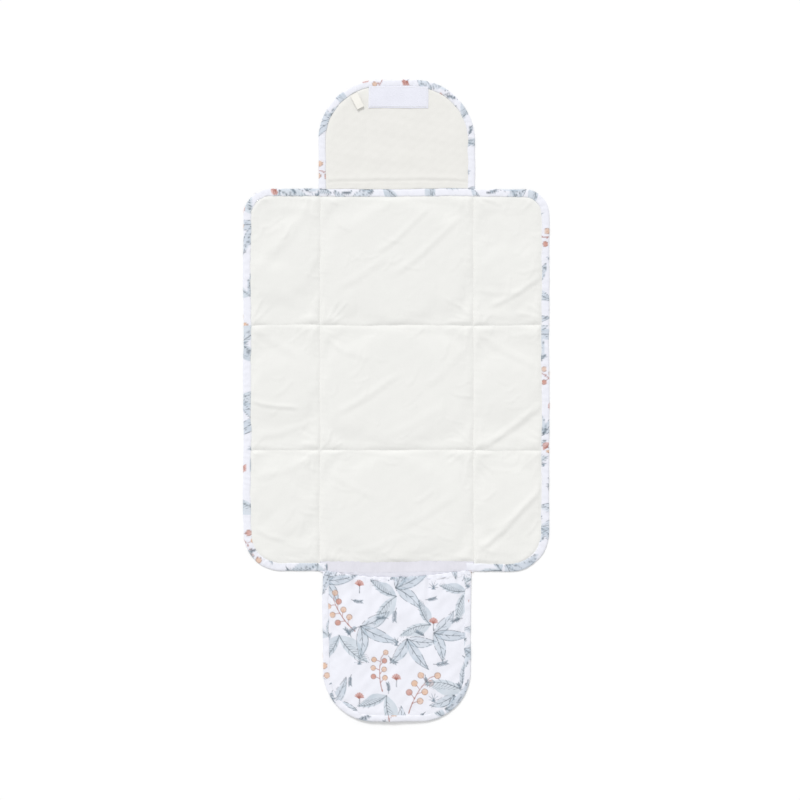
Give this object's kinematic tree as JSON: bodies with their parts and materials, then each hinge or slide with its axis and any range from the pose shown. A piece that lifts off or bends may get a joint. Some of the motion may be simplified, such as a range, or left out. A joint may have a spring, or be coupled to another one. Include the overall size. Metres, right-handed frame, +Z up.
{
  "type": "changing pad",
  "caption": "Open fold-up quilted changing pad with hinged side panels, a hook-and-loop closing flap and a gathered pouch at the foot.",
  "frame": {"origin": "middle of the open pad's footprint, on the surface it lies on", "axes": "+Y from the pouch to the flap, +X to the right seen from above, +Z up out of the lying surface"},
  "size_m": [0.48, 1.006, 0.0072],
  "materials": {
    "ivory_quilt_cotton": "matte, soft puckered quilting",
    "ivory_flap_lining": "matte woven cotton",
    "wadding": "soft lofted polyester, hidden inside",
    "printed_cotton": "matte, pale blue-white ground with a small grey-blue and terracotta leaf and berry print",
    "printed_bias_binding": "matte, the same print cut on the bias",
    "hook_tape": "woven nylon hooks",
    "loop_tape": "brushed nylon loops",
    "label_tape": "blank satin tape",
    "lavender_lining": "matte woven lining",
    "elastic": "braided elastic, hidden inside"
  },
  "bodies": {
    "top_left": {"cover_top_left": "ivory_quilt_cotton", "wadding_top_left": "wadding", "backing_top_left": "printed_cotton", "binding_top_left": "printed_bias_binding"},
    "top_centre": {"cover_top_centre": "ivory_quilt_cotton", "wadding_top_centre": "wadding", "backing_top_centre": "printed_cotton", "binding_top_centre": "printed_bias_binding"},
    "top_right": {"cover_top_right": "ivory_quilt_cotton", "wadding_top_right": "wadding", "backing_top_right": "printed_cotton", "binding_top_right": "printed_bias_binding"},
    "middle_left": {"cover_middle_left": "ivory_quilt_cotton", "wadding_middle_left": "wadding", "backing_middle_left": "printed_cotton", "binding_middle_left": "printed_bias_binding"},
    "middle_centre": {"cover_middle_centre": "ivory_quilt_cotton", "wadding_middle_centre": "wadding", "backing_middle_centre": "printed_cotton", "loop_tape": "loop_tape"},
    "middle_right": {"cover_middle_right": "ivory_quilt_cotton", "wadding_middle_right": "wadding", "backing_middle_right": "printed_cotton", "binding_middle_right": "printed_bias_binding"},
    "bottom_left": {"cover_bottom_left": "ivory_quilt_cotton", "wadding_bottom_left": "wadding", "backing_bottom_left": "printed_cotton", "binding_bottom_left": "printed_bias_binding"},
    "bottom_centre": {"cover_bottom_centre": "ivory_quilt_cotton", "wadding_bottom_centre": "wadding", "backing_bottom_centre": "printed_cotton"},
    "bottom_right": {"cover_bottom_right": "ivory_quilt_cotton", "wadding_bottom_right": "wadding", "backing_bottom_right": "printed_cotton", "binding_bottom_right": "printed_bias_binding"},
    "upper_strip_left": {"upper_fold_strip_left": "printed_cotton"},
    "upper_strip_centre": {"upper_fold_strip_centre": "printed_cotton"},
    "upper_strip_right": {"upper_fold_strip_right": "printed_cotton"},
    "lower_strip_left": {"lower_fold_strip_left": "printed_cotton"},
    "lower_strip_centre": {"lower_fold_strip_centre": "printed_cotton"},
    "lower_strip_right": {"lower_fold_strip_right": "printed_cotton"},
    "flap": {"flap_outer": "printed_cotton", "flap_wadding": "wadding", "flap_lining": "ivory_flap_lining", "flap_binding": "printed_bias_binding", "hook_tape": "hook_tape", "care_label": "label_tape"},
    "pouch": {"pouch_outer": "printed_cotton", "pouch_lining": "lavender_lining", "pouch_front": "printed_cotton", "pouch_hem": "printed_cotton", "pouch_elastic": "elastic", "pouch_binding": "printed_bias_binding"}
  },
  "joints": [
    {"name": "upper_fold", "type": "hinge", "parent": "top_centre", "child": "middle_centre", "pos_m": [0, 0.118, 0.0165], "axis": [-1, 0, 0], "range_deg": [0, 179.98]},
    {"name": "lower_fold", "type": "hinge", "parent": "middle_centre", "child": "bottom_centre", "pos_m": [0, -0.078, 0.00845], "axis": [-1, 0, 0], "range_deg": [0, 179.98]},
    {"name": "flap_fold", "type": "hinge", "parent": "top_centre", "child": "flap", "pos_m": [0, 0.332, 0.0183], "axis": [1, 0, 0], "range_deg": [0, 179.98]},
    {"name": "pouch_fold", "type": "hinge", "parent": "bottom_centre", "child": "pouch", "pos_m": [0, -0.268, -0.00015], "axis": [1, 0, 0], "range_deg": [0, 179.98]},
    {"name": "left_fold", "type": "hinge", "parent": "middle_centre", "child": "middle_left", "pos_m": [-0.1205, 0.02, 0.00415], "axis": [0, 1, 0], "range_deg": [0, 179.98]},
    {"name": "right_fold", "type": "hinge", "parent": "middle_centre", "child": "middle_right", "pos_m": [0.1205, 0.02, 0.00415], "axis": [0, -1, 0], "range_deg": [0, 179.98]},
    {"name": "top_left_fold", "type": "hinge", "parent": "top_centre", "child": "top_left", "pos_m": [-0.1205, 0.225, 0.00415], "axis": [0, 1, 0], "range_deg": [0, 179.98]},
    {"name": "top_right_fold", "type": "hinge", "parent": "top_centre", "child": "top_right", "pos_m": [0.1205, 0.225, 0.00415], "axis": [0, -1, 0], "range_deg": [0, 179.98]},
    {"name": "bottom_left_fold", "type": "hinge", "parent": "bottom_centre", "child": "bottom_left", "pos_m": [-0.1205, -0.173, 0.00415], "axis": [0, 1, 0], "range_deg": [0, 179.98]},
    {"name": "bottom_right_fold", "type": "hinge", "parent": "bottom_centre", "child": "bottom_right", "pos_m": [0.1205, -0.173, 0.00415], "axis": [0, -1, 0], "range_deg": [0, 179.98]},
    {"name": "upper_strip_turn", "type": "hinge", "parent": "top_centre", "child": "upper_strip_centre", "pos_m": [0, 0.118, 0.0165], "axis": [-1, 0, 0], "range_deg": [0, 89.99]},
    {"name": "lower_strip_turn", "type": "hinge", "parent": "middle_centre", "child": "lower_strip_centre", "pos_m": [0, -0.078, 0.00845], "axis": [-1, 0, 0], "range_deg": [0, 89.99]},
    {"name": "upper_strip_left_fold", "type": "hinge", "parent": "upper_strip_centre", "child": "upper_strip_left", "pos_m": [-0.1205, 0.118, 0.00415], "axis": [0, 1, 0], "range_deg": [0, 179.98]},
    {"name": "upper_strip_right_fold", "type": "hinge", "parent": "upper_strip_centre", "child": "upper_strip_right", "pos_m": [0.1205, 0.118, 0.00415], "axis": [0, -1, 0], "range_deg": [0, 179.98]},
    {"name": "lower_strip_left_fold", "type": "hinge", "parent": "lower_strip_centre", "child": "lower_strip_left", "pos_m": [-0.1205, -0.078, 0.00415], "axis": [0, 1, 0], "range_deg": [0, 179.98]},
    {"name": "lower_strip_right_fold", "type": "hinge", "parent": "lower_strip_centre", "child": "lower_strip_right", "pos_m": [0.1205, -0.078, 0.00415], "axis": [0, -1, 0], "range_deg": [0, 179.98]}
  ],
  "couplings": [
    {"joint": "pouch_fold", "follows": "upper_fold", "ratio": 1},
    {"joint": "upper_strip_turn", "follows": "upper_fold", "ratio": 0.5},
    {"joint": "lower_strip_turn", "follows": "lower_fold", "ratio": 0.5},
    {"joint": "top_left_fold", "follows": "left_fold", "ratio": 1},
    {"joint": "bottom_left_fold", "follows": "left_fold", "ratio": 1},
    {"joint": "upper_strip_left_fold", "follows": "left_fold", "ratio": 1},
    {"joint": "lower_strip_left_fold", "follows": "left_fold", "ratio": 1},
    {"joint": "top_right_fold", "follows": "right_fold", "ratio": 1},
    {"joint": "bottom_right_fold", "follows": "right_fold", "ratio": 1},
    {"joint": "upper_strip_right_fold", "follows": "right_fold", "ratio": 1},
    {"joint": "lower_strip_right_fold", "follows": "right_fold", "ratio": 1}
  ]
}
